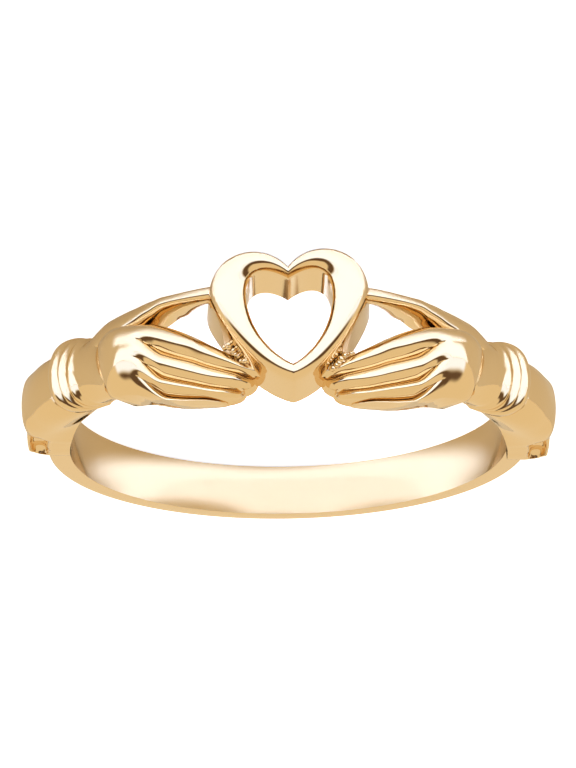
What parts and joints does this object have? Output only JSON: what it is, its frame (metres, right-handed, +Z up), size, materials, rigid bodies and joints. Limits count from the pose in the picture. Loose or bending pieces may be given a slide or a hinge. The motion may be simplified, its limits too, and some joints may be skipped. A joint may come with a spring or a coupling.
{
  "type": "finger ring",
  "caption": "Plain polished finger ring with two hands in ruffled cuffs that hold an open heart, cast in one piece.",
  "frame": {"origin": "centre of the underside of the ring's box, as it lies on its side on a table", "axes": "+Z up, near the finger hole's axis; -Y towards the heart's face, the longest way, from the back of the band to the heart; X across, from cuff to cuff"},
  "size_m": [0.0208, 0.0211, 0.0056],
  "materials": {
    "gold": "polished yellow gold"
  },
  "bodies": {
    "root": {"ring": "gold"}
  },
  "joints": []
}
